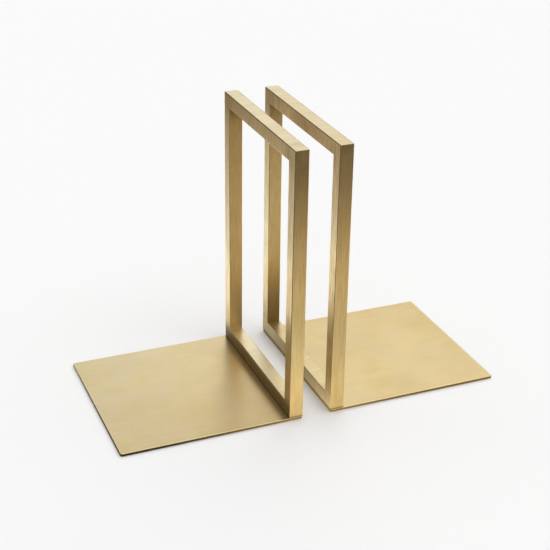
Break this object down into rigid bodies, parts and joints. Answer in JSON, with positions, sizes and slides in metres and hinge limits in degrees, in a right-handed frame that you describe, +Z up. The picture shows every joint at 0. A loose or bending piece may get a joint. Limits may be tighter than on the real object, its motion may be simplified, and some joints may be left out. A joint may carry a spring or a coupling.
{
  "type": "book ends",
  "caption": "Pair of free-standing book ends, each an open upright rectangular frame of square brass bar along one edge of a thin flat brass base plate.",
  "frame": {"origin": "on the shelf surface, at the centre of the pair's footprint, midway between the two frames", "axes": "+X across the pair, along which the book ends slide apart; +Y to the rear; +Z up"},
  "size_m": [0.283, 0.128, 0.199],
  "materials": {
    "brass_bar": "satin, linished across the rails and along the posts, lacquered",
    "brass_sheet": "satin rolled sheet, fine brushed, lightly toned",
    "brass_screw": "turned brass, slightly duller"
  },
  "bodies": {
    "left_bookend": {"left_front_post": "brass_bar", "left_rear_post": "brass_bar", "left_top_rail": "brass_bar", "left_bottom_rail": "brass_bar", "left_base_plate": "brass_sheet", "left_front_screw": "brass_screw", "left_rear_screw": "brass_screw"},
    "right_bookend": {"right_front_post": "brass_bar", "right_rear_post": "brass_bar", "right_top_rail": "brass_bar", "right_bottom_rail": "brass_bar", "right_base_plate": "brass_sheet", "right_front_screw": "brass_screw", "right_rear_screw": "brass_screw"}
  },
  "joints": [
    {"name": "bookend_spread", "type": "slide", "parent": "left_bookend", "child": "right_bookend", "axis": [1, 0, 0], "range_m": [-0.0205, 0.4]}
  ]
}
